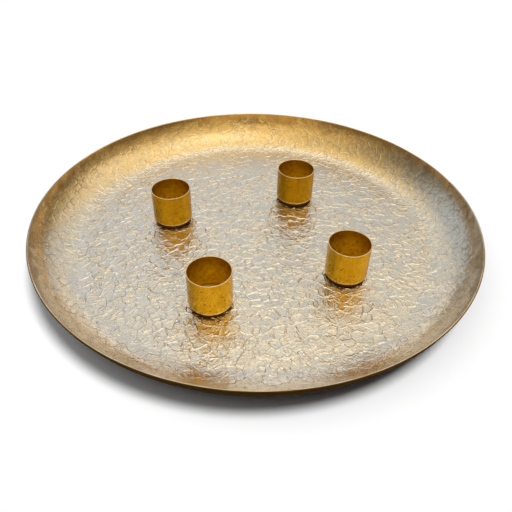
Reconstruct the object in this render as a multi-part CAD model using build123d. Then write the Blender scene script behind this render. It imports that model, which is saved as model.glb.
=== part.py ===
from build123d import *
import math
import os

# Candle plate: a round pressed dish with four loose magnetic cups for tall candles.
# Millimetres, +Z up. The origin is the centre of the dish's flat underside, on the table.

# Dish, pressed from one sheet, with its cut edge rounded over
plate_diameter = 250.0
plate_height = 20.0
sheet_thickness = 1.0
# how far the wall has turned up from flat where it ends
wall_turn_deg = 73.0

# Candle cup, deep drawn from thin sheet
cup_bore = 22.0
cup_height = 20.0
cup_wall = 0.5
# the bend between the cup's floor and its wall, on the inside
cup_corner_radius = 0.6
cup_rim_rounding = 0.15

# Ring magnet under each cup
magnet_diameter = 21.5
magnet_thickness = 1.5
magnet_chamfer = 0.2
countersink_depth = 0.9

# Hollow rivet that holds the magnet to the cup
rivet_shank_diameter = 3.2
rivet_bore_diameter = 2.0
rivet_head_diameter = 7.0
rivet_head_edge = 0.2
rivet_head_crown = 0.35
rivet_hole_clearance = 0.1
# how far the flared tail stays above the magnet's lower face
rivet_tail_recess = 0.2
# how far the rivet is drilled up from its tail
rivet_bore_depth = 1.2

# Where the cups stand, left to right and front to back, as shares of the flat floor's radius.
# They were set down by hand, so they are near the corners of a square and not on them.
cup_place_shares = {
    "left": (-0.518, 0.155),
    "back": (0.247, 0.418),
    "front": (-0.228, -0.579),
    "right": (0.499, -0.334),
}

# Worked out from the sizes above
plate_radius = plate_diameter / 2
half_sheet = sheet_thickness / 2
wall_turn = math.radians(wall_turn_deg)
bend_radius = (plate_height - sheet_thickness) / (1 - math.cos(wall_turn))
floor_radius = plate_radius - half_sheet - bend_radius * math.sin(wall_turn)
cup_radius = cup_bore / 2 + cup_wall
shank_radius = rivet_shank_diameter / 2
hole_radius = shank_radius + rivet_hole_clearance

# Levels above the table
dish_floor = sheet_thickness
cup_base = dish_floor + magnet_thickness
cup_floor = cup_base + cup_wall
cup_top = cup_base + cup_height


def turned(outline):
    """The solid that a closed outline, drawn as radius and height, sweeps about the Z axis."""
    return revolve(Plane.XZ * make_face(outline), Axis.Z)


def around(centre, radius, turn):
    """The point at a turn from straight down, in radians, on a circle about a centre."""
    return (centre[0] + radius * math.sin(turn), centre[1] - radius * math.cos(turn))


def make_plate():
    """Flat floor, a wall that curves up in one bend, and a full round on the cut edge."""
    inside = bend_radius - half_sheet
    outside = bend_radius + half_sheet
    bend_centre = (floor_radius, sheet_thickness + inside)
    edge_centre = around(bend_centre, bend_radius, wall_turn)
    edge_tip = around(edge_centre, half_sheet, wall_turn + math.pi / 2)
    outline = Polyline((floor_radius, sheet_thickness), (0, sheet_thickness), (0, 0), (floor_radius, 0))
    outline += ThreePointArc(
        (floor_radius, 0),
        around(bend_centre, outside, wall_turn / 2),
        around(bend_centre, outside, wall_turn),
    )
    outline += ThreePointArc(
        around(bend_centre, outside, wall_turn),
        edge_tip,
        around(bend_centre, inside, wall_turn),
    )
    outline += ThreePointArc(
        around(bend_centre, inside, wall_turn),
        around(bend_centre, inside, wall_turn / 2),
        (floor_radius, sheet_thickness),
    )
    return turned(outline)


def make_cup():
    """Drawn cup with a rounded bottom corner and a hole for the rivet in its floor."""
    bore_radius = cup_bore / 2
    section = make_face(
        Polyline(
            (hole_radius, cup_base),
            (cup_radius, cup_base),
            (cup_radius, cup_top),
            (bore_radius, cup_top),
            (bore_radius, cup_floor),
            (hole_radius, cup_floor),
            close=True,
        )
    )
    outer_corner = section.vertices().sort_by_distance((cup_radius, cup_base))[:1]
    section = fillet(outer_corner, cup_corner_radius + cup_wall)
    inner_corner = section.vertices().sort_by_distance((bore_radius, cup_floor))[:1]
    section = fillet(inner_corner, cup_corner_radius)
    rim_corners = section.vertices().group_by(Axis.Y)[-1]
    section = fillet(rim_corners, cup_rim_rounding)
    return revolve(Plane.XZ * section, Axis.Z)


def make_magnet():
    """Flat ring magnet, countersunk underneath for the rivet's flared tail."""
    radius = magnet_diameter / 2
    return turned(
        Polyline(
            (hole_radius + countersink_depth, dish_floor),
            (radius - magnet_chamfer, dish_floor),
            (radius, dish_floor + magnet_chamfer),
            (radius, cup_base - magnet_chamfer),
            (radius - magnet_chamfer, cup_base),
            (hole_radius, cup_base),
            (hole_radius, dish_floor + countersink_depth),
            close=True,
        )
    )


def make_rivet():
    """Low domed head on the cup's floor, and a hollow tail flared into the countersink."""
    bore_radius = rivet_bore_diameter / 2
    head_radius = rivet_head_diameter / 2
    tail = dish_floor + rivet_tail_recess
    flare_start = dish_floor + countersink_depth
    flare = flare_start - tail
    bore_top = tail + rivet_bore_depth
    head_edge = cup_floor + rivet_head_edge
    crown = head_edge + rivet_head_crown
    # the dome is part of the sphere through the head's edge and its crown
    dome_radius = (head_radius**2 + rivet_head_crown**2) / (2 * rivet_head_crown)
    dome_centre = (0, crown - dome_radius)
    half_way = math.asin(head_radius / dome_radius) / 2
    outline = ThreePointArc(
        (head_radius, head_edge), around(dome_centre, dome_radius, math.pi - half_way), (0, crown)
    )
    outline += Polyline(
        (0, crown),
        (0, bore_top),
        (bore_radius, bore_top),
        (bore_radius, flare_start),
        (bore_radius + flare, tail),
        (shank_radius + flare, tail),
        (shank_radius, flare_start),
        (shank_radius, cup_floor),
        (head_radius, cup_floor),
        (head_radius, head_edge),
    )
    return turned(outline)


def set_out(piece, name):
    """A copy of a piece of the cup, moved from the dish's centre to the named cup's place."""
    across, along = cup_place_shares[name]
    return Pos(across * floor_radius, along * floor_radius, 0) * piece


os.makedirs("parts", exist_ok=True)
export_step(make_plate(), "parts/plate.step")

cup_pieces = {"cup": make_cup(), "magnet": make_magnet(), "rivet": make_rivet()}
for place in cup_place_shares:
    for kind, piece in cup_pieces.items():
        export_step(set_out(piece, place), f"parts/{place}_{kind}.step")
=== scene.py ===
import math
import random

import bmesh
import bpy
from mathutils import Matrix, Vector, kdtree, noise
from mathutils.geometry import delaunay_2d_cdt


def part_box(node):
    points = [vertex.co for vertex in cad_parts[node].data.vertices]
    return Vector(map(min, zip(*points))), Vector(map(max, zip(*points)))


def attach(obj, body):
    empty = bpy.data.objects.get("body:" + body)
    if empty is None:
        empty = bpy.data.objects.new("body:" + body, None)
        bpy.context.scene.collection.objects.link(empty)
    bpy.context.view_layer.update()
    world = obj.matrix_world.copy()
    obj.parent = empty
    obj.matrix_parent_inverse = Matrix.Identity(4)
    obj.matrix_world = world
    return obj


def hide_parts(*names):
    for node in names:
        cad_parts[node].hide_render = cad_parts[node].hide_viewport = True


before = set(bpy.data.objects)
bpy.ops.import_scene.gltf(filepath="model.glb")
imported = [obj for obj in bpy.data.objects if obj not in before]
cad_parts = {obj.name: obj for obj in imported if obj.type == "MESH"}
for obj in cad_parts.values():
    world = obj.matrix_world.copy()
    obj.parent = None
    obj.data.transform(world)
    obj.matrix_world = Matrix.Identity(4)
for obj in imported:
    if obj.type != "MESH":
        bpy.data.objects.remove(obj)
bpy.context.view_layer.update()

# Metres throughout. The dish's overall size and the cups' places come from the frame.
MM = 0.001

# Dish: sheet pressed up in one bend, with a creased face
SHEET = 1.0 * MM
WALL_TURN = math.radians(73)
plate_low, plate_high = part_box("plate")
plate_radius = (plate_high.x - plate_low.x) / 2
plate_height = plate_high.z - plate_low.z
half_sheet = SHEET / 2
bend_radius = (plate_height - SHEET) / (1 - math.cos(WALL_TURN))
floor_radius = plate_radius - half_sheet - bend_radius * math.sin(WALL_TURN)
blank_radius = floor_radius + bend_radius * WALL_TURN

# Creases of the dish's face
CREASE_SEED = 7
CREASE_HEIGHT = 0.28 * MM
CREASE_HALF_WIDTH = 0.56 * MM
CREASE_STEP = 1.2 * MM
CREASE_SHORTEST = 0.5 * MM
CREASE_LONGEST = 25 * MM
# how large the patches are where the creases are dense or sparse
CREASE_PATCH = 16 * MM
# how long the waves in a crease are, and how many millimetres they swing it
SLOW_WAVE, SLOW_SWING = 7 * MM, 1.5
QUICK_WAVE, QUICK_SWING = 2.4 * MM, 0.7
# how much shallower the relief is on the wall
WALL_SOFTER = 0.62
# how far in from the cut edge the relief fades out
LIP_REACH = 2.5 * MM

# The cells between the creases: the gaps between their middles, and how each is tilted and crowned
CELL_LEAST = 3.2 * MM
CELL_SPREAD = 4.6 * MM
FINE_CELL_LEAST = 2.0 * MM
FINE_CELL_SPREAD = 2.4 * MM
CELL_TILT = math.radians(1.3)
MOST_TILT = 0.2 * CREASE_HEIGHT
CELL_CROWN = 0.02 * MM
CROWN_REACH = 4 * MM
SCATTER_TRIES = 60
# above 1, small gaps and weak creases are more common than large and strong ones
GAP_SKEW = 1.6
STRENGTH_SKEW = 1.2

# The blank's mesh
DOTS_PER_STEP = 4
SAME_SPOT = 0.02 * MM
FOOT_GAP = 0.42 * MM
FILL_GAP = 1.0 * MM
FILL_STEP = 1.9 * MM
FILL_JITTER = 0.25
PLAIN_LIP = 1.2 * MM
RIM_POINTS = 640
EDGE_STEPS = 6
UNDERSIDE_STEPS = 14

# Angles past which an edge is shaded sharp
CREASE_SHARP = math.radians(9)
TURNED_SHARP = math.radians(32)

# Cup, magnet and rivet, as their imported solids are
CUP_WALL = 0.5 * MM
CUP_CORNER = 0.6 * MM
CUP_LIP = 0.15 * MM
MAGNET_CHAMFER = 0.2 * MM
MAGNET_SINK = 0.9 * MM
RIVET_SHANK_RADIUS = 1.6 * MM
RIVET_BORE_RADIUS = 1.0 * MM
RIVET_CROWN = 0.35 * MM
RIVET_EDGE = 0.2 * MM
RIVET_FLARE = 0.7 * MM
RIVET_BORE_DEPTH = 1.2 * MM
RIVET_CLEARANCE = 0.1 * MM
PLACES = ("left", "back", "front", "right")

# Their turned meshes, and the nicks in a cup's cut edge
TURNED_SEGMENTS = 128
CORNER_STEPS = 6
DOME_STEPS = 10
SAME_POINT = 0.002 * MM
NICK_SIZE = 1.1 * MM
NICK_DEPTH = 0.12 * MM
# how far apart in the noise the nicks of two cups are taken
NICK_SEEDS = 3.7

# Table: how far it reaches, and how far from the dish's centre it is fully lit and has faded
TABLE_HALF = 3.0
TABLE_LIT = 0.17
TABLE_DARK = 0.40
TABLE_WHITE = (1.0, 1.0, 1.0)
TABLE_DIM = (0.2, 0.2, 0.2)

# Camera, from a fit of the dish's outline and the four cups, with its angles in degrees
SENSOR_WIDTH = 36
LENS = 36.93
CLIP_START = 10 * MM
CAMERA_PLACE = (0, -247.91 * MM, 193.03 * MM)
CAMERA_PAN = -0.059
CAMERA_DOWN = 40.069
CAMERA_ROLL = 1.257


# Node trees

class Value:
    """A number in a node tree, written in sums and comparisons like a Python number."""

    def __init__(self, tree, socket):
        self.tree = tree
        self.socket = socket

    def sum(self, operation, *others):
        """The result of a Math node on this value and the others."""
        node = self.tree.nodes.new("ShaderNodeMath")
        node.operation = operation
        for place, item in enumerate((self, *others)):
            feed(self.tree, node.inputs[place], item)
        return Value(self.tree, node.outputs[0])

    def __add__(self, other):
        return self.sum("ADD", other)

    __radd__ = __add__

    def __sub__(self, other):
        return self.sum("SUBTRACT", other)

    def __rsub__(self, other):
        return (self * -1) + other

    def __mul__(self, other):
        return self.sum("MULTIPLY", other)

    __rmul__ = __mul__

    def __truediv__(self, other):
        return self.sum("DIVIDE", other)

    def __rtruediv__(self, other):
        return self ** -1 * other

    def __pow__(self, other):
        return self.sum("POWER", other)

    def clamped(self, low=0.0, high=1.0):
        return self.sum("MAXIMUM", low).sum("MINIMUM", high)

    def ramp(self, low, high):
        """0 at low and 1 at high, eased between them. Low may be the larger."""
        share = ((self - low) / (high - low)).clamped()
        return share * share * (3.0 - 2.0 * share)


def feed(tree, socket, item):
    """Sets a socket to a number, colour or vector, or links it to a value or a socket."""
    if isinstance(item, Value):
        tree.links.new(item.socket, socket)
    elif isinstance(item, bpy.types.NodeSocket):
        tree.links.new(item, socket)
    elif socket.type == "RGBA":
        socket.default_value = (*item, 1)
    else:
        socket.default_value = item


class Tree:
    """A node tree with one method for any node."""

    def __init__(self, tree):
        self.tree = tree

    def add(self, kind, settings=None, **values):
        """A node of a kind. Settings are set first; values go to sockets by name, _ for space."""
        node = self.tree.nodes.new(kind)
        for name, setting in (settings or {}).items():
            setattr(node, name, setting)
        for name, item in values.items():
            self.set(node, name.replace("_", " "), item)
        return node

    def set(self, node, name, item):
        socket = next(s for s in node.inputs if s.name == name and s.enabled)
        feed(self.tree, socket, item)

    def value(self, socket):
        return Value(self.tree, socket)

    def mix(self, share, first, second):
        """A colour between two colours or links."""
        settings = {"data_type": "RGBA"}
        return self.add("ShaderNodeMix", settings, Factor=share, A=first, B=second).outputs[2]

    def split(self, vector):
        """The three parts of a vector, as values."""
        node = self.add("ShaderNodeSeparateXYZ", Vector=vector)
        return [self.value(s) for s in node.outputs]


# Surface finishes, with their colours as linear red, green and blue

# dish
COOL_SILVER = (0.79, 0.76, 0.695)
WARM_SILVER = (0.83, 0.77, 0.67)
CHAMPAGNE = (0.77, 0.66, 0.49)
PALE_CHAMPAGNE = (0.83, 0.72, 0.55)
# painted reflections of the room: the back's turn, the back wall and the front wall
BACK_TURN_HIGHLIGHT = (0.89, 0.81, 0.66)
BACK_WALL_REFLECTION = (0.75, 0.54, 0.235)
FRONT_WALL_REFLECTION = (0.99, 0.93, 0.80)
BROWN_GOLD = (0.49, 0.33, 0.155)
LIGHT_BROWN_GOLD = (0.57, 0.41, 0.225)
RIM_STAIN = (0.38, 0.24, 0.10)
# painted reflection: the rim brighter at the back
BACK_RIM_REFLECTION = (0.66, 0.42, 0.15)
# partly patina and partly painted shade beside the creases; the crest colour is partly wear and
# partly a painted highlight
PATINA_AND_SHADE = (0.38, 0.32, 0.23)
RUBBED_CREST_AND_HIGHLIGHT = (0.99, 0.94, 0.88)
MOTTLE = (0.40, 0.35, 0.28)
DARK_EDGE = (0.13, 0.080, 0.03)
# painted highlight on the cut edge at the front right
EDGE_HIGHLIGHT = (0.80, 0.70, 0.54)

# its outside and underside
BRONZE = (0.072, 0.033, 0.004)
LIGHT_BRONZE = (0.112, 0.057, 0.009)
BRONZE_SCUFF = (0.18, 0.10, 0.025)

# cups
DEEP_GOLD = (0.74, 0.43, 0.018)
BRIGHT_GOLD = (0.86, 0.55, 0.040)
# painted shade for the cups that stand further back
SHADED_GOLD = (0.42, 0.23, 0.004)
# painted light low in the bore, and painted shade on the cup's floor
LOW_BORE_LIGHT = (1.0, 0.79, 0.07)
HIGH_BORE = (0.62, 0.42, 0.025)
BORE_STAIN = (0.42, 0.24, 0.012)
CUP_FLOOR_SHADE = (0.58, 0.38, 0.035)
CUP_SMUDGE = (0.36, 0.15, 0.010)
CUP_SPECK = (0.20, 0.07, 0.006)
BARE_EDGE = (0.88, 0.66, 0.36)
CUP_TINT = (0.86, 0.76, 0.80)

# magnets and rivets
# near black ferrite, tinted warm brown as a painted reflection of the gold
FERRITE_AND_GOLD_REFLECTION = (0.10, 0.045, 0.016)
RUBBED_FERRITE_AND_GOLD_REFLECTION = (0.19, 0.095, 0.040)
BRASS = (0.62, 0.40, 0.12)
BRIGHT_BRASS = (0.78, 0.56, 0.22)

# where slow noise passes from one tone to the other
CLOUDED = (0.3, 0.7)


class Finish(Tree):
    """A procedural material around one Principled shader."""

    def __init__(self, name, **constants):
        self.material = bpy.data.materials.new(name)
        self.material.use_nodes = True
        super().__init__(self.material.node_tree)
        self.shader = self.tree.nodes["Principled BSDF"]
        self.place = self.add("ShaderNodeTexCoord").outputs["Object"]
        for socket, constant in constants.items():
            self.set(self.shader, socket.replace("_", " "), constant)

    def noise(self, size, detail=3.0, roughness=0.55, place=None):
        """Noise between 0 and 1 with features of a size in metres."""
        node = self.add(
            "ShaderNodeTexNoise",
            Vector=place or self.place,
            Scale=1 / size,
            Detail=detail,
            Roughness=roughness,
        )
        return self.value(node.outputs["Fac"])

    def stretched(self, across, along, up):
        """Object coordinates scaled by axis, for marks that run one way."""
        node = self.add("ShaderNodeMapping", Vector=self.place, Scale=(across, along, up))
        return node.outputs[0]

    def attribute(self, name):
        """What the mesh carries under a name."""
        node = self.add("ShaderNodeAttribute", {"attribute_name": name})
        return self.value(node.outputs["Fac"])

    def bump(self, height, depth, under=None):
        """A bump of a depth in metres from a height between 0 and 1, over another normal."""
        node = self.add("ShaderNodeBump", Height=height, Strength=1.0, Distance=depth)
        if under is not None:
            self.set(node, "Normal", under)
        return node.outputs["Normal"]

    def finish(self, **links):
        for socket, item in links.items():
            self.set(self.shader, socket.replace("_", " "), item)
        return self.material


def dish_finish():
    """Silvery champagne with a brown-gold rim, crumpled in patches, worn and painted with
    highlights on its creases, darker beside them partly as oxide and partly as painted shade, and
    painted with reflections on the wall at the back and front.

    The attribute wall runs from 0 where the floor ends to 1 at the cut edge.
    """
    f = Finish("champagne gold, creased", Metallic=1.0)
    crease, wall, tone = (f.attribute(name) for name in ("crease", "wall", "tone"))
    right, back, _ = f.split(f.place)
    cloud = f.noise(24 * MM, detail=4)
    front = (-1 * back).ramp(98 * MM, 112 * MM) * wall.ramp(0.15, 0.5)
    behind = back.ramp(10 * MM, 90 * MM)

    # tones from the floor up to the rim, with painted reflections: lighter on the back's turn, deep
    # gold up the back wall, near white on the front wall and brighter on the rim at the back
    silver = f.mix(tone, COOL_SILVER, WARM_SILVER)
    champagne = f.mix(cloud.ramp(*CLOUDED), CHAMPAGNE, PALE_CHAMPAGNE)
    base = f.mix(wall.ramp(0.1, 0.5), silver, champagne)
    # painted reflections: lighter on the back's turn and deep gold up the back wall
    base = f.mix(wall.ramp(0.0, 0.1) * behind * 0.8, base, BACK_TURN_HIGHLIGHT)
    base = f.mix(wall.ramp(0.13, 0.36) * behind * 0.9, base, BACK_WALL_REFLECTION)
    # painted reflection: near white on the front wall
    base = f.mix(front * 0.9, base, FRONT_WALL_REFLECTION)
    rim = f.mix(cloud.ramp(*CLOUDED), BROWN_GOLD, LIGHT_BROWN_GOLD)
    stains = f.noise(5 * MM, detail=4).ramp(0.50, 0.66)
    rim = f.mix(stains * 0.7, rim, RIM_STAIN)
    # painted reflection: brighter on the rim at the back
    rim = f.mix(back.ramp(50 * MM, 100 * MM) * 0.6, rim, BACK_RIM_REFLECTION)
    # the rim's tone starts at a wavering height
    rimmed = (wall + 0.1 * (tone - 0.5) + 0.3 * (cloud - 0.5)).ramp(0.64, 0.75)
    base = f.mix(rimmed, base, rim)

    # darker beside the creases, partly patina and partly painted shade, and worn paler on them with
    # a painted highlight, less so up the wall
    beside = crease.ramp(0.03, 0.3) * (1 - crease.ramp(0.6, 0.95))
    patina_and_shade = beside * f.noise(5 * MM).ramp(0.42, 0.58)
    base = f.mix(patina_and_shade * (0.3 + 0.4 * wall.ramp(0.2, 0.6)), base, PATINA_AND_SHADE)
    rubbed_and_highlit = crease.ramp(0.3, 0.8) * (0.8 - 0.35 * wall.ramp(0.15, 0.5))
    # painted highlight on the crests, partly wear
    base = f.mix(rubbed_and_highlit, base, RUBBED_CREST_AND_HIGHLIGHT)
    grain = f.noise(0.9 * MM, detail=4, roughness=0.65)
    base = f.mix(grain.ramp(0.40, 0.62) * (0.25 + 0.3 * rimmed), base, MOTTLE)
    # the cut edge is dark, with a painted highlight on it at the front right
    edge = f.mix((right - back).ramp(150 * MM, 168 * MM), DARK_EDGE, EDGE_HIGHLIGHT)
    base = f.mix(wall.ramp(0.955, 1.0), base, edge)

    # the crumple is in patches, denser towards the front, and the wall is smoother than the floor
    patches = f.noise(8 * MM, detail=3)
    crumpled = (0.75 * patches + 0.25 * tone - 0.6 * back).ramp(0.52, 0.64)
    calm = 1 - 0.65 * wall.ramp(0.15, 0.6)
    folds = f.noise(1.5 * MM, detail=4, roughness=0.6)
    glints = f.noise(1.3 * MM, detail=1).ramp(0.60, 0.74)
    normal = f.bump(folds * crumpled * calm, 0.42 * MM)
    normal = f.bump(glints * calm, 0.10 * MM, normal)
    normal = f.bump(grain * calm, 0.10 * MM, normal)
    rough = 0.15 + 0.06 * cloud + 0.06 * grain + 0.14 * front
    return f.finish(Base_Color=base, Roughness=rough, Normal=normal)


def back_finish():
    """Dark bronze lacquer of the dish's outside, matt, with scuffs where it stands."""
    f = Finish("dark bronze lacquer", Metallic=0.0, Specular_IOR_Level=0.02)
    cloud = f.noise(18 * MM, detail=4)
    grain = f.noise(0.5 * MM, detail=3)
    scuffs = f.noise(3 * MM, detail=5, roughness=0.7).ramp(0.60, 0.70)
    colour = f.mix(cloud.ramp(*CLOUDED), BRONZE, LIGHT_BRONZE)
    colour = f.mix(scuffs * 0.5, colour, BRONZE_SCUFF)
    rough = 0.65 + 0.2 * grain
    return f.finish(Base_Color=colour, Roughness=rough, Normal=f.bump(grain, 0.03 * MM))


def cup_finish():
    """Deep gold lacquer on brass, duller inside, with specks, smudges and a bare cut edge, painted
    lighter low in the bore and painted darker on its floor and on the cups further back.

    The attribute inside is 0 outside, a half down the bore and 1 on the cup's floor.
    """
    f = Finish("deep gold, satin", Metallic=1.0, Specular_Tint=CUP_TINT)
    worn, inside = f.attribute("worn"), f.attribute("inside")
    _, back, up = f.split(f.place)
    cloud = f.noise(7 * MM, detail=4)

    outer = f.mix(cloud.ramp(*CLOUDED), DEEP_GOLD, BRIGHT_GOLD)
    # the cups that stand further back are painted darker: painted shade
    outer = f.mix(back.ramp(-70 * MM, 50 * MM) * 0.72, outer, SHADED_GOLD)
    # painted light: the bore is lighter low down than near its top
    bore = f.mix(up.ramp(13 * MM, 22 * MM), LOW_BORE_LIGHT, HIGH_BORE)
    stains = f.noise(2.6 * MM, detail=4, roughness=0.65).ramp(0.44, 0.60)
    bore = f.mix(stains * 0.4, bore, BORE_STAIN)
    gold = f.mix(inside.ramp(0.0, 0.5), outer, bore)
    # painted shade: the cup's floor is darker
    gold = f.mix(inside.ramp(0.5, 1.0), gold, CUP_FLOOR_SHADE)

    # marks, mostly on the outside
    within = inside.ramp(0.0, 0.3)
    smudges = f.noise(3.5 * MM, detail=3).ramp(0.56, 0.66)
    smudges *= f.noise(0.8 * MM, detail=2).ramp(0.45, 0.6)
    specks = f.noise(1.0 * MM, detail=1).ramp(0.64, 0.68)
    specks *= f.noise(6 * MM).ramp(0.44, 0.52)
    marked = f.mix(smudges * (0.7 - 0.5 * within), gold, CUP_SMUDGE)
    marked = f.mix(specks * (0.8 - 0.6 * within), marked, CUP_SPECK)
    edged = f.mix(worn.ramp(0.2, 0.9), marked, BARE_EDGE)
    fine = f.noise(1.6 * MM, detail=3)
    rough = 0.16 + 0.08 * cloud + 0.4 * inside
    return f.finish(Base_Color=edged, Roughness=rough, Normal=f.bump(fine, 0.05 * MM))


def magnet_finish():
    """Sintered ferrite, near black, with lighter worn grains, tinted warm brown as a painted
    reflection of the gold around it.
    """
    f = Finish("black ferrite", Specular_IOR_Level=0.03)
    grain = f.noise(0.3 * MM, detail=3)
    # the warm brown tint is a painted reflection of the gold
    colour = f.mix(grain.ramp(0.35, 0.7), FERRITE_AND_GOLD_REFLECTION, RUBBED_FERRITE_AND_GOLD_REFLECTION)
    rough = 0.55 + 0.2 * grain
    return f.finish(Base_Color=colour, Roughness=rough, Normal=f.bump(grain, 0.02 * MM))


def rivet_finish():
    """Plain brass, scuffed on its head."""
    f = Finish("scuffed brass", Metallic=1.0)
    cloud = f.noise(1.6 * MM, detail=3)
    scuffs = f.noise(0.12 * MM, place=f.stretched(1, 8, 1), detail=1)
    colour = f.mix(cloud.ramp(*CLOUDED), BRASS, BRIGHT_BRASS)
    rough = 0.28 + 0.18 * scuffs
    return f.finish(Base_Color=colour, Roughness=rough, Normal=f.bump(scuffs, 0.01 * MM))


# Geometry Nodes

class Shaper(Tree):
    """A Geometry Nodes tree with named inputs."""

    def __init__(self, name, **sizes):
        self.group = bpy.data.node_groups.new(name, "GeometryNodeTree")
        super().__init__(self.group)
        self.face = self.group.interface
        self.face.new_socket("Geometry", in_out="INPUT", socket_type="NodeSocketGeometry")
        self.face.new_socket("Geometry", in_out="OUTPUT", socket_type="NodeSocketGeometry")
        for label, kind in {**sizes, "Finish": "Material"}.items():
            self.face.new_socket(
                label.replace("_", " "), in_out="INPUT", socket_type=f"NodeSocket{kind}"
            )
        self.inlet = self.group.nodes.new("NodeGroupInput")

    def given(self, name):
        """The value of a named input."""
        socket = self.inlet.outputs[name]
        return self.value(socket) if socket.type in ("VALUE", "INT") else socket

    def attribute(self, name):
        """A named attribute of the input, as a field."""
        node = self.add("GeometryNodeInputNamedAttribute", {"data_type": "FLOAT"}, Name=name)
        return node.outputs["Attribute"]

    def position(self):
        return self.split(self.add("GeometryNodeInputPosition").outputs[0])

    def vector(self, x, y, z):
        return self.add("ShaderNodeCombineXYZ", X=x, Y=y, Z=z).outputs[0]

    def mark(self, geometry, name, value):
        """The geometry with a number stored at each point."""
        node = self.add(
            "GeometryNodeStoreNamedAttribute",
            {"data_type": "FLOAT", "domain": "POINT"},
            Geometry=geometry,
            Name=name,
            Value=value,
        )
        return node.outputs[0]

    def close(self, geometry, back=None):
        """Ends the tree: instances made real, the finish set, and the back's finish on the back."""
        real = self.add("GeometryNodeRealizeInstances", Geometry=geometry)
        made = self.add(
            "GeometryNodeSetMaterial", Geometry=real.outputs[0], Material=self.given("Finish")
        )
        if back is not None:
            made = self.add(
                "GeometryNodeSetMaterial",
                Geometry=made.outputs[0],
                Selection=back.sum("GREATER_THAN", 0.5),
                Material=self.given("Back Finish"),
            )
        outlet = self.add("NodeGroupOutput")
        feed(self.group, outlet.inputs[0], made.outputs[0])
        return self

    def shape(self, name, mesh, sharp, **sizes):
        """A plain object from the tree run on a mesh with these sizes, sharp past an angle."""
        source = bpy.data.objects.new(f"{name}_source", mesh)
        bpy.context.collection.objects.link(source)
        modifier = source.modifiers.new("shape", "NODES")
        modifier.node_group = self.group
        labels = {
            item.name: item.identifier
            for item in self.face.items_tree
            if item.item_type == "SOCKET" and item.in_out == "INPUT"
        }
        for label, size in sizes.items():
            modifier[labels[label.replace("_", " ")]] = size
        graph = bpy.context.evaluated_depsgraph_get()
        made = bpy.data.meshes.new_from_object(source.evaluated_get(graph), depsgraph=graph)
        bpy.data.objects.remove(source)
        bpy.data.meshes.remove(mesh)
        solid = bmesh.new()
        solid.from_mesh(made)
        bmesh.ops.recalc_face_normals(solid, faces=solid.faces)
        solid.to_mesh(made)
        solid.free()
        made.shade_smooth()
        made.set_sharp_from_angle(angle=sharp)
        made.name = name
        piece = bpy.data.objects.new(name, made)
        bpy.context.collection.objects.link(piece)
        return piece


def press_tree():
    """Bends a flat blank into a dish: its floor stays flat, and the rest rolls up in one bend."""
    t = Shaper(
        "Pressed dish",
        Floor_Radius="Float",
        Bend_Radius="Float",
        Wall_Turn="Float",
        Sheet_Thickness="Float",
        Back_Finish="Material",
    )
    floor, bend, turn = (t.given(n) for n in ("Floor Radius", "Bend Radius", "Wall Turn"))
    x, y, height = t.position()
    out = (x * x + y * y).sum("SQRT")
    turned = ((out - floor) / bend).clamped(0.0, turn)
    past = (out - floor - bend * turn).sum("MAXIMUM", 0.0)
    arm = bend - height
    sine, cosine = turned.sum("SINE"), turned.sum("COSINE")
    reach = out.sum("MINIMUM", floor) + arm * sine + past * cosine
    level = t.given("Sheet Thickness") / 2 + bend - arm * cosine + past * sine
    # the centre has no direction, so its distance is kept from nought
    share = reach / out.sum("MAXIMUM", 1e-9)
    pressed = t.add(
        "GeometryNodeSetPosition",
        Geometry=t.inlet.outputs["Geometry"],
        Position=t.vector(x * share, y * share, level),
    )
    marked = t.mark(pressed.outputs[0], "wall", turned / turn)
    return t.close(marked, back=t.value(t.attribute("back")))


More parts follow.
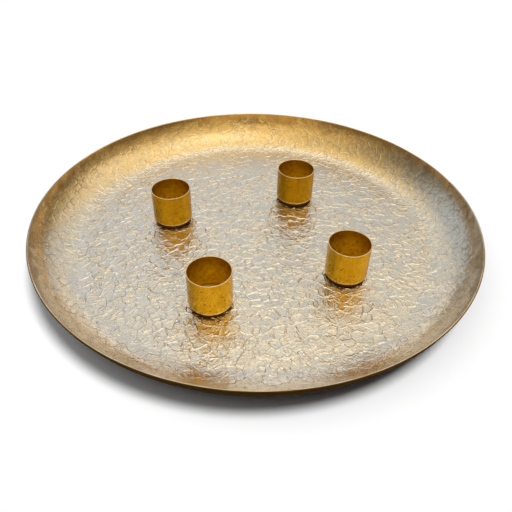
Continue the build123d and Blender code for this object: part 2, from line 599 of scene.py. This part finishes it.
def turned_tree():
    """Turns a profile, drawn as radius and height, round an upright axis.

    Its corners are rounded first, and what is marked as worn gets small nicks.
    """
    t = Shaper(
        "Turned piece",
        Place="Vector",
        Segments="Int",
        Corner_Steps="Int",
        Nick_Size="Float",
        Nick_Depth="Float",
        Seed="Float",
    )
    line = t.add("GeometryNodeMeshToCurve", Mesh=t.inlet.outputs["Geometry"])
    rounded = t.add(
        "GeometryNodeFilletCurve",
        {"mode": "POLY"},
        Curve=line.outputs[0],
        Count=t.given("Corner Steps"),
        Radius=t.attribute("rounding"),
        Limit_Radius=True,
    ).outputs[0]
    size = t.add("GeometryNodeAttributeDomainSize", {"component": "CURVE"}, Geometry=rounded)
    count = t.value(size.outputs["Point Count"])
    segments = t.given("Segments")
    grid = t.add("GeometryNodeMeshGrid", Vertices_X=segments + 1, Vertices_Y=count).outputs[0]
    index = t.value(t.add("GeometryNodeInputIndex").outputs[0])
    column = ((index + 0.5) / count).sum("FLOOR")
    row = index - column * count

    def sampled(kind, value):
        """What the profile has at this row."""
        settings = {"data_type": kind, "domain": "POINT"}
        node = t.add("GeometryNodeSampleIndex", settings, Geometry=rounded, Value=value, Index=row)
        return node.outputs[0]

    place = t.add("GeometryNodeInputPosition").outputs[0]
    radius, _, height = t.split(sampled("FLOAT_VECTOR", place))
    worn = t.value(sampled("FLOAT", t.attribute("worn")))
    turn = column * (2 * math.pi) / segments
    x, y, z = t.split(t.given("Place"))
    x = x + radius * turn.sum("COSINE")
    y = y + radius * turn.sum("SINE")
    z = z + height
    flaws = t.add(
        "ShaderNodeTexNoise",
        {"noise_dimensions": "4D"},
        Vector=t.vector(x, y, z),
        W=t.given("Seed"),
        Scale=1 / t.given("Nick Size"),
        Detail=2.0,
    )
    nick = t.value(flaws.outputs[0]).ramp(0.56, 0.72) * worn.ramp(0.7, 1.0) * t.given("Nick Depth")
    position = t.vector(x, y, z - nick)
    turned = t.add("GeometryNodeSetPosition", Geometry=grid, Position=position).outputs[0]
    for name in ("worn", "inside"):
        turned = t.mark(turned, name, sampled("FLOAT", t.attribute(name)))
    merged = t.add("GeometryNodeMergeByDistance", Geometry=turned, Distance=SAME_POINT)
    return t.close(merged.outputs[0])


# The creased blank

def scattered(rng, radius, least, spread):
    """Points at random over a disc, with gaps between least and least plus spread."""
    tries = int(SCATTER_TRIES * (radius / least) ** 2)
    grid = {}
    kept = []
    reach = int(math.ceil((least + spread) / least))
    for _ in range(tries):
        x, y = rng.uniform(-radius, radius), rng.uniform(-radius, radius)
        if math.hypot(x, y) > radius:
            continue
        gap = least + spread * rng.random() ** GAP_SKEW
        column, row = int(x // least), int(y // least)
        crowded = any(
            math.hypot(x - px, y - py) < (gap + pgap) / 2
            for i in range(column - reach, column + reach + 1)
            for j in range(row - reach, row + reach + 1)
            for px, py, pgap in grid.get((i, j), ())
        )
        if not crowded:
            grid.setdefault((column, row), []).append((x, y, gap))
            kept.append(Vector((x, y)))
    return kept


def circumcentre(a, b, c):
    """The centre of the circle through three points, or None if they lie on a line."""
    d = 2 * (a.x * (b.y - c.y) + b.x * (c.y - a.y) + c.x * (a.y - b.y))
    if abs(d) < 1e-12:
        return None
    aa, bb, cc = a.length_squared, b.length_squared, c.length_squared
    x = (aa * (b.y - c.y) + bb * (c.y - a.y) + cc * (a.y - b.y)) / d
    y = (aa * (c.x - b.x) + bb * (a.x - c.x) + cc * (b.x - a.x)) / d
    return Vector((x, y))


def triangulated(points, edges, tolerance):
    """Points and triangles that span the points and edges given, in one order on every run."""
    found, _, triangles, _, _, _ = delaunay_2d_cdt(points, edges, [], 0, tolerance)
    order = sorted(range(len(found)), key=lambda n: tuple(found[n]))
    rank = {n: place for place, n in enumerate(order)}
    corners = []
    for triangle in triangles:
        ranks = [rank[n] for n in triangle]
        first = ranks.index(min(ranks))
        corners.append(ranks[first:] + ranks[:first])
    return [found[n] for n in order], sorted(corners)


def cell_borders(seeds):
    """The borders between the cells round the seeds, as pairs of end points."""
    points, triangles = triangulated(seeds, [], 1e-9)
    centres = [circumcentre(*(points[i] for i in t)) for t in triangles]
    sides = {}
    for n, t in enumerate(triangles):
        for a, b in ((t[0], t[1]), (t[1], t[2]), (t[2], t[0])):
            sides.setdefault((min(a, b), max(a, b)), []).append(n)
    return [(centres[p], centres[q]) for p, q in (n for n in sides.values() if len(n) == 2)]


def waver(point):
    """How far the sheet's creases stray from straight at a point."""
    slow = noise.noise_vector(Vector((point.x, point.y, 0)) / SLOW_WAVE) * SLOW_SWING * MM
    quick = noise.noise_vector(Vector((point.x, point.y, 9)) / QUICK_WAVE) * QUICK_SWING * MM
    return (slow + quick).xy


def crease_lines(rng, seeds, weakest, strongest, kept):
    """Wavering creases along the cells' borders: lists of points with a strength for each."""
    lines = []
    for start, end in cell_borders(seeds):
        if start is None or end is None:
            continue
        length = (end - start).length
        beyond = min(start.length, end.length) > blank_radius
        if length < CREASE_SHORTEST or length > CREASE_LONGEST or beyond:
            continue
        middle = (start + end) / 2
        patch = 0.5 + noise.noise(Vector((middle.x, middle.y, 3)) / CREASE_PATCH)
        if rng.random() > kept * (0.6 + 0.8 * patch):
            continue
        strength = weakest + (strongest - weakest) * rng.random() ** STRENGTH_SKEW
        steps = max(1, round(length / CREASE_STEP))
        line = []
        for k in range(steps + 1):
            point = start.lerp(end, k / steps)
            line.append((point + waver(point), strength))
        lines.append(line)
    return lines


def finder(points):
    """A tree that finds the nearest of the points."""
    tree = kdtree.KDTree(len(points))
    for n, point in enumerate(points):
        tree.insert((point.x, point.y, 0), n)
    tree.balance()
    return tree


def as_dots(lines):
    """The creases as close dots with a strength for each."""
    dots = []
    for line in lines:
        for (a, strength), (b, _) in zip(line, line[1:]):
            for k in range(DOTS_PER_STEP):
                dots.append((a.lerp(b, k / DOTS_PER_STEP), strength))
        dots.append(line[-1])
    return dots


class Layout:
    """Points of the flat blank by number, and the edges that its mesh has to keep."""

    def __init__(self):
        self.points = []
        self.edges = []
        self.numbers = {}
        self.taken = {}

    def number(self, point):
        """The number of a point, which it shares with any other at the same spot."""
        key = (round(point.x / SAME_SPOT), round(point.y / SAME_SPOT))
        if key not in self.numbers:
            self.numbers[key] = len(self.points)
            self.points.append(point)
        return self.numbers[key]

    def free(self, point, gap):
        """Whether no point that was taken with this gap is nearer than the gap."""
        column, row = int(point.x // gap), int(point.y // gap)
        for i in (column - 1, column, column + 1):
            for j in (row - 1, row, row + 1):
                others = self.taken.get((gap, i, j), ())
                if any((point - other).length < gap for other in others):
                    return False
        return True

    def take(self, point, *gaps):
        """Puts a point on record under each gap that others have to keep from it."""
        for gap in gaps:
            place = (gap, int(point.x // gap), int(point.y // gap))
            self.taken.setdefault(place, []).append(point)

    def add_crests(self, lines, inner):
        """The creases' own points and edges, as far out as inner."""
        for line in lines:
            last = None
            for point, _ in line:
                if point.length > inner:
                    last = None
                    continue
                this = self.number(point)
                self.take(point, FILL_GAP)
                if last is not None and last != this:
                    self.edges.append((last, this))
                last = this

    def add_feet(self, lines, near, inner):
        """A point on either side of each crease, where its slope ends."""
        for line in lines:
            for k, (point, _) in enumerate(line):
                before, after = line[max(k - 1, 0)][0], line[min(k + 1, len(line) - 1)][0]
                along = (after - before).normalized()
                side = Vector((-along.y, along.x)) * CREASE_HALF_WIDTH
                for foot in (point + side, point - side):
                    clear = near.find((foot.x, foot.y, 0))[2] > 0.8 * CREASE_HALF_WIDTH
                    if foot.length < inner and clear and self.free(foot, FOOT_GAP):
                        self.take(foot, FOOT_GAP, FILL_GAP)
                        self.number(foot)

    def add_fill(self, rng, inner):
        """Jittered points over the ground between the creases."""
        rows = int(blank_radius / FILL_STEP) + 1
        for i in range(-rows, rows + 1):
            for j in range(-rows, rows + 1):
                x = (i + 0.5 * (j % 2) + rng.uniform(-FILL_JITTER, FILL_JITTER)) * FILL_STEP
                y = (j * 0.87 + rng.uniform(-FILL_JITTER, FILL_JITTER)) * FILL_STEP
                point = Vector((x, y))
                if point.length < inner and self.free(point, FILL_GAP):
                    self.take(point, FILL_GAP)
                    self.number(point)

    def add_rim(self):
        """The even ring of points at the blank's edge."""
        ring = []
        for k in range(RIM_POINTS):
            turn = 2 * math.pi * k / RIM_POINTS
            ring.append(len(self.points))
            self.points.append(Vector((math.cos(turn), math.sin(turn))) * blank_radius)
        self.edges += list(zip(ring, ring[1:] + ring[:1]))


class Relief:
    """The creased face: how high it is at a point, how near a crease, and its cell's tone."""

    def __init__(self, rng, seeds):
        self.seeds = seeds
        self.tilts = [
            Vector((rng.gauss(0, 1), rng.gauss(0, 1))) * math.tan(CELL_TILT) for _ in seeds
        ]
        self.tones = [rng.random() for _ in seeds]
        self.cells = finder(seeds)

    def crease(self, lines):
        """Takes on the creases that the face rises to."""
        self.dots = as_dots(lines)
        self.near = finder([point for point, _ in self.dots])

    def at(self, point):
        """Height over the sheet's middle, nearness to a crease, and tone."""
        away = self.near.find((point.x, point.y, 0))[2]
        beside = self.near.find_range((point.x, point.y, 0), CREASE_HALF_WIDTH)
        rises = (self.dots[n][1] * (1 - gap / CREASE_HALF_WIDTH) for _, n, gap in beside)
        rise = max(rises, default=0.0)
        # the cell is found where the point was before the creases strayed
        source = point - waver(point - waver(point))
        _, cell, _ = self.cells.find((source.x, source.y, 0))
        from_seed = point - self.seeds[cell]
        blend = min(1.0, away / (1.6 * CREASE_HALF_WIDTH))
        tilt = self.tilts[cell].dot(from_seed) + CELL_CROWN * math.cos(
            min(1.0, from_seed.length / CROWN_REACH) * math.pi / 2
        )
        relief = (rise - 1) * CREASE_HEIGHT + max(-MOST_TILT, min(MOST_TILT, tilt)) * blend
        lip = min(1.0, max(0.0, (blank_radius - point.length) / LIP_REACH))
        up_wall = max(0.0, point.length - floor_radius) / (blank_radius - floor_radius)
        softer = 1 - WALL_SOFTER * min(1.0, 2 * up_wall)
        return half_sheet + min(0.0, relief) * lip * softer, rise * lip, self.tones[cell]


def join(mesh, outer, inner):
    """Four-sided faces between two rings of as many points."""
    for k in range(len(outer)):
        n = (k + 1) % len(outer)
        mesh.faces.new((outer[k], outer[n], inner[n], inner[k]))


def close_blank(mesh, top_ring, back_layer):
    """The full round on the cut edge, and the plain underside as far in as the bend."""
    previous = top_ring
    for k in range(1, EDGE_STEPS + 1):
        turn = math.pi * k / EDGE_STEPS
        this = []
        for v in top_ring:
            way = v.co.xy.normalized()
            reach = blank_radius + half_sheet * math.sin(turn)
            vert = mesh.verts.new((way.x * reach, way.y * reach, half_sheet * math.cos(turn)))
            vert[back_layer] = k / EDGE_STEPS
            this.append(vert)
        join(mesh, previous, this)
        previous = this
    for k in range(1, UNDERSIDE_STEPS + 1):
        reach = blank_radius - (blank_radius - floor_radius) * k / UNDERSIDE_STEPS
        this = [mesh.verts.new((*(v.co.xy.normalized() * reach), -half_sheet)) for v in top_ring]
        for vert in this:
            vert[back_layer] = 1.0
        join(mesh, previous, this)
        previous = this
    mesh.faces.new(previous)


def make_blank():
    """The flat blank: a creased face, a full round on the cut edge, and a plain underside."""
    rng = random.Random(CREASE_SEED)
    # without a seed of its own the noise differs from run to run
    noise.seed_set(CREASE_SEED)
    seeds = scattered(rng, blank_radius + 2 * (CELL_LEAST + CELL_SPREAD), CELL_LEAST, CELL_SPREAD)
    relief = Relief(rng, seeds)
    lines = crease_lines(rng, seeds, weakest=0.3, strongest=1.0, kept=0.8)
    fine_seeds = scattered(rng, blank_radius, FINE_CELL_LEAST, FINE_CELL_SPREAD)
    lines += crease_lines(rng, fine_seeds, weakest=0.2, strongest=0.65, kept=0.26)
    relief.crease(lines)

    inner = blank_radius - PLAIN_LIP
    layout = Layout()
    layout.add_crests(lines, inner)
    layout.add_feet(lines, relief.near, inner)
    layout.add_fill(rng, inner)
    layout.add_rim()
    flat, triangles = triangulated(layout.points, layout.edges, 1e-8)

    mesh = bmesh.new()
    crease_layer, tone_layer, back_layer = (
        mesh.verts.layers.float.new(name) for name in ("crease", "tone", "back")
    )
    verts = []
    for point in flat:
        height, creased, tone = relief.at(point)
        vert = mesh.verts.new((point.x, point.y, height))
        vert[crease_layer] = creased
        vert[tone_layer] = tone
        verts.append(vert)
    for t in triangles:
        mesh.faces.new([verts[i] for i in t])
    outermost = [v for v in verts if v.co.xy.length > blank_radius - 1e-6]
    close_blank(mesh, sorted(outermost, key=lambda v: math.atan2(v.co.y, v.co.x)), back_layer)
    made = bpy.data.meshes.new("blank")
    mesh.to_mesh(made)
    mesh.free()
    return made


plate = press_tree().shape(
    "pressed_plate",
    make_blank(),
    CREASE_SHARP,
    Floor_Radius=floor_radius,
    Bend_Radius=bend_radius,
    Wall_Turn=WALL_TURN,
    Sheet_Thickness=SHEET,
    Finish=dish_finish(),
    Back_Finish=back_finish(),
)
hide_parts("plate")
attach(plate, "plate")


# Cup, magnet and rivet: each profile's rows are radius, height, rounding, worn, inside

def profile(rows):
    """A line in the XZ plane, with what each of its points carries."""
    mesh = bpy.data.meshes.new("profile")
    runs = [(k, k + 1) for k in range(len(rows) - 1)]
    mesh.from_pydata([(row[0], 0, row[1]) for row in rows], runs, [])
    for column, name in enumerate(("rounding", "worn", "inside"), 2):
        layer = mesh.attributes.new(name, "FLOAT", "POINT")
        layer.data.foreach_set("value", [row[column] for row in rows])
    return mesh


def cup_profile(low, high, radius):
    """Drawn cup: across its underside, up the outside, over the rim and down to its floor."""
    bore = radius - CUP_WALL
    hole = RIVET_SHANK_RADIUS + RIVET_CLEARANCE
    floor = low + CUP_WALL
    fade = 2 * CUP_LIP
    return profile([
        (hole, low + CUP_WALL / 2, 0, 0, 0),
        (hole, low, 0, 0, 0),
        (radius - 3 * CUP_CORNER, low, 0, 0, 0),
        (radius, low, CUP_CORNER + CUP_WALL, 0.55, 0),
        (radius, low + 2.5 * (CUP_CORNER + CUP_WALL), 0, 0, 0),
        (radius, high - fade, 0, 0, 0),
        (radius, high, CUP_LIP, 1, 0),
        (bore, high, CUP_LIP, 1, 0.5),
        (bore, high - fade, 0, 0, 0.5),
        (bore, floor + 3 * CUP_CORNER, 0, 0, 0.5),
        (bore, floor, CUP_CORNER, 0, 1),
        (hole, floor, 0, 0, 1),
        (hole, low + CUP_WALL / 2, 0, 0, 1),
    ])


def magnet_profile(low, high, radius):
    """Ring magnet with chamfered edges, countersunk underneath."""
    hole = RIVET_SHANK_RADIUS + RIVET_CLEARANCE
    return profile([
        (hole, high - MAGNET_CHAMFER, 0, 0, 0),
        (hole, low + MAGNET_SINK, 0, 0, 0),
        (hole + MAGNET_SINK, low, 0, 0, 0),
        (radius - MAGNET_CHAMFER, low, 0, 0, 0),
        (radius, low + MAGNET_CHAMFER, 0, 0, 0),
        (radius, high - MAGNET_CHAMFER, 0, 0, 0),
        (radius - MAGNET_CHAMFER, high, 0, 0, 0),
        (hole, high, 0, 0, 0),
        (hole, high - MAGNET_CHAMFER, 0, 0, 0),
    ])


def rivet_profile(low, high, radius):
    """Hollow rivet: a low dome on a straight edge, a shank, and a tail flared outwards."""
    edge = high - RIVET_CROWN
    floor = edge - RIVET_EDGE
    flare = low + RIVET_FLARE
    shank, bore = RIVET_SHANK_RADIUS, RIVET_BORE_RADIUS
    ball = (radius**2 + RIVET_CROWN**2) / (2 * RIVET_CROWN)
    half = math.asin(radius / ball)
    dome = [half * k / DOME_STEPS for k in range(DOME_STEPS + 1)]
    return profile(
        [(ball * math.sin(turn), high - ball * (1 - math.cos(turn)), 0, 0, 0) for turn in dome]
        + [
            (radius, floor, 0, 0, 0),
            (shank, floor, 0, 0, 0),
            (shank, flare, 0, 0, 0),
            (shank + RIVET_FLARE, low, 0, 0, 0),
            (bore + RIVET_FLARE, low, 0, 0, 0),
            (bore, flare, 0, 0, 0),
            (bore, low + RIVET_BORE_DEPTH, 0, 0, 0),
            (0, low + RIVET_BORE_DEPTH, 0, 0, 0),
        ]
    )


# kind: name of the piece, material slot, profile, finish, nick depth
TURNED = {
    "cup": ("drawn_cup", "cup_brass", cup_profile, cup_finish(), NICK_DEPTH),
    "magnet": ("ring_magnet", "magnet_black", magnet_profile, magnet_finish(), 0.0),
    "rivet": ("hollow_rivet", "rivet_brass", rivet_profile, rivet_finish(), 0.0),
}
lathe = turned_tree()
for number, place in enumerate(PLACES):
    for kind, (name, slot, outline, finish, nicks) in TURNED.items():
        low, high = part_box(f"{place}_{kind}")
        piece = lathe.shape(
            f"{place}_{name}",
            outline(low.z, high.z, (high.x - low.x) / 2),
            TURNED_SHARP,
            Place=((low.x + high.x) / 2, (low.y + high.y) / 2, 0.0),
            Segments=TURNED_SEGMENTS,
            Corner_Steps=CORNER_STEPS,
            Nick_Size=NICK_SIZE,
            Nick_Depth=nicks,
            Seed=NICK_SEEDS * number,
            Finish=finish,
        )
        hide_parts(f"{place}_{kind}")
        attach(piece, f"{place}_holder")


# Stage, light and camera

def make_floor():
    """A white table that fades to grey further off where the metal mirrors it."""
    mesh = bpy.data.meshes.new("floor")
    half = TABLE_HALF
    corners = [(-half, -half, 0), (half, -half, 0), (half, half, 0), (-half, half, 0)]
    mesh.from_pydata(corners, [], [(0, 1, 2, 3)])
    floor = bpy.data.objects.new("floor", mesh)
    bpy.context.collection.objects.link(floor)
    f = Finish("white table")
    path = {s.name: f.value(s) for s in f.add("ShaderNodeLightPath").outputs}
    mirrored = (path["Is Glossy Ray"] + path["Is Transmission Ray"]).clamped()
    # light that reaches the table again by way of the metal does not fill its shadow
    first = 1 - path["Diffuse Depth"].clamped()
    x, y, _ = f.split(f.place)
    lit = (x * x + y * y).sum("SQRT").ramp(TABLE_DARK, TABLE_LIT)
    seen = (path["Is Camera Ray"] + mirrored * first * (0.2 + 0.8 * lit)).clamped()
    colour = f.mix(seen, TABLE_DIM, TABLE_WHITE)
    f.tree.nodes.remove(f.shader)
    white = f.add("ShaderNodeBsdfDiffuse", Color=colour)
    f.tree.links.new(white.outputs[0], f.tree.nodes["Material Output"].inputs[0])
    mesh.materials.append(f.material)


def direction(azimuth, elevation):
    """A unit vector from degrees clockwise from the back, and degrees above the table."""
    a, e = math.radians(azimuth), math.radians(elevation)
    return Vector((math.sin(a) * math.cos(e), math.cos(a) * math.cos(e), math.sin(e)))


# Soft patches of the room, each laid over the ones before: the azimuth and elevation of its middle,
# how far round that it fades out and how far it is full, all in degrees, its strength, and its
# linear colour.
WALL_PATCHES = {
    "grey left side": (-68, 38, 52, 0, 1.0, (0.20, 0.20, 0.20)),
    "brown right side": (85, 42, 40, 5, 0.5, (0.46, 0.34, 0.18)),
    "warm low front": (180, 8, 44, 12, 1.0, (0.88, 0.62, 0.26)),
    "dark band over it": (180, 29, 15, 3, 0.95, (0.36, 0.26, 0.12)),
}
CEILING_PATCHES = {
    "darker left end": (-85, 50, 48, 5, 0.5, (0.70, 0.58, 0.36)),
}
ROOM_PATCHES = {
    "ceiling over the front": (180, 58, 22, 12, 1.0, (1.20, 0.97, 0.56)),
    "foot of the window": (6, 16, 22, 6, 1.0, (0.60, 0.61, 0.63)),
    "window": (8, 24, 31, 0, 1.0, (0.60, 0.64, 0.70)),
    "window to the left": (-34, 30, 38, 0, 1.0, (0.55, 0.63, 0.75)),
    "dark far left": (-76, 46, 26, 8, 0.45, (0.20, 0.18, 0.15)),
    "warm gleam above the left": (-30, 54, 18, 5, 0.3, (1.25, 1.00, 0.62)),
    "brown to the right": (50, 46, 24, 6, 0.35, (0.62, 0.50, 0.34)),
    "warm gleam at the right": (74, 42, 20, 6, 0.5, (1.45, 1.28, 0.98)),
    "dim over the window": (2, 39, 12, 2, 0.45, (0.48, 0.53, 0.52)),
    "gleam over the window": (-18, 37, 12, 2, 0.4, (1.05, 1.02, 0.96)),
    "dim higher up": (14, 48, 12, 2, 0.4, (0.50, 0.46, 0.44)),
    "bright sill": (0, 16, 14, 6, 0.85, (1.24, 1.14, 0.98)),
    "ceiling lamp": (134, 75, 20, 6, 1.0, (1.70, 1.60, 1.36)),
}


def make_sky():
    """The room that the metal mirrors: warm walls, a warm ceiling and a cool window behind."""
    world = bpy.data.worlds.new("studio room")
    world.use_nodes = True
    world.cycles_visibility.diffuse = False
    bpy.context.scene.world = world
    t = Tree(world.node_tree)
    x, y, z = t.split(t.add("ShaderNodeTexCoord").outputs["Generated"])

    def near(azimuth, elevation, wide, narrow):
        """1 within a narrow angle of a direction, and 0 beyond a wide one."""
        to = direction(azimuth, elevation)
        towards = x * to.x + y * to.y + z * to.z
        return towards.ramp(math.cos(math.radians(wide)), math.cos(math.radians(narrow)))

    def laid_over(base, patches):
        for azimuth, elevation, wide, narrow, strength, colour in patches.values():
            base = t.mix(near(azimuth, elevation, wide, narrow) * strength, base, colour)
        return base

    walls = t.mix(z.ramp(-0.1, 0.8), (0.16, 0.12, 0.07), (0.82, 0.63, 0.29))
    walls = laid_over(walls, WALL_PATCHES)
    ceiling = t.mix(near(-160, 52, 55, 5), (1.42, 1.30, 1.02), (1.14, 0.94, 0.56))
    ceiling = laid_over(ceiling, CEILING_PATCHES)
    room = t.mix((z + 0.11 * y).ramp(0.40, 1.02), walls, ceiling)
    room = laid_over(room, ROOM_PATCHES)
    feed(t.tree, t.tree.nodes["Background"].inputs["Color"], room)


def sun(name, azimuth, elevation, spread, level):
    """A soft distant lamp that adds a level to a white floor, and that metal does not mirror."""
    lamp = bpy.data.lights.new(name, "SUN")
    lamp.angle = math.radians(spread)
    lamp.energy = level * math.pi / math.sin(math.radians(elevation))
    light = bpy.data.objects.new(name, lamp)
    light.rotation_euler = (-direction(azimuth, elevation)).to_track_quat("-Z", "Y").to_euler()
    light.visible_glossy = False
    bpy.context.collection.objects.link(light)


def make_camera():
    """The photograph's view."""
    data = bpy.data.cameras.new("camera")
    data.sensor_width = SENSOR_WIDTH
    data.lens = LENS
    data.clip_start = CLIP_START
    camera = bpy.data.objects.new("camera", data)
    bpy.context.collection.objects.link(camera)
    camera.matrix_world = (
        Matrix.Translation(CAMERA_PLACE)
        @ Matrix.Rotation(math.radians(CAMERA_PAN), 4, "Z")
        @ Matrix.Rotation(math.radians(90 - CAMERA_DOWN), 4, "X")
        @ Matrix.Rotation(math.radians(CAMERA_ROLL), 4, "Z")
    )
    bpy.context.scene.camera = camera


make_floor()
make_sky()
sun("ceiling lamp", 124, 74, 20, 0.74)
sun("ceiling glow", -110, 70, 64, 0.26)
sun("front fill", 180, 30, 60, 0.01)
make_camera()
bpy.context.scene.view_settings.view_transform = "Standard"
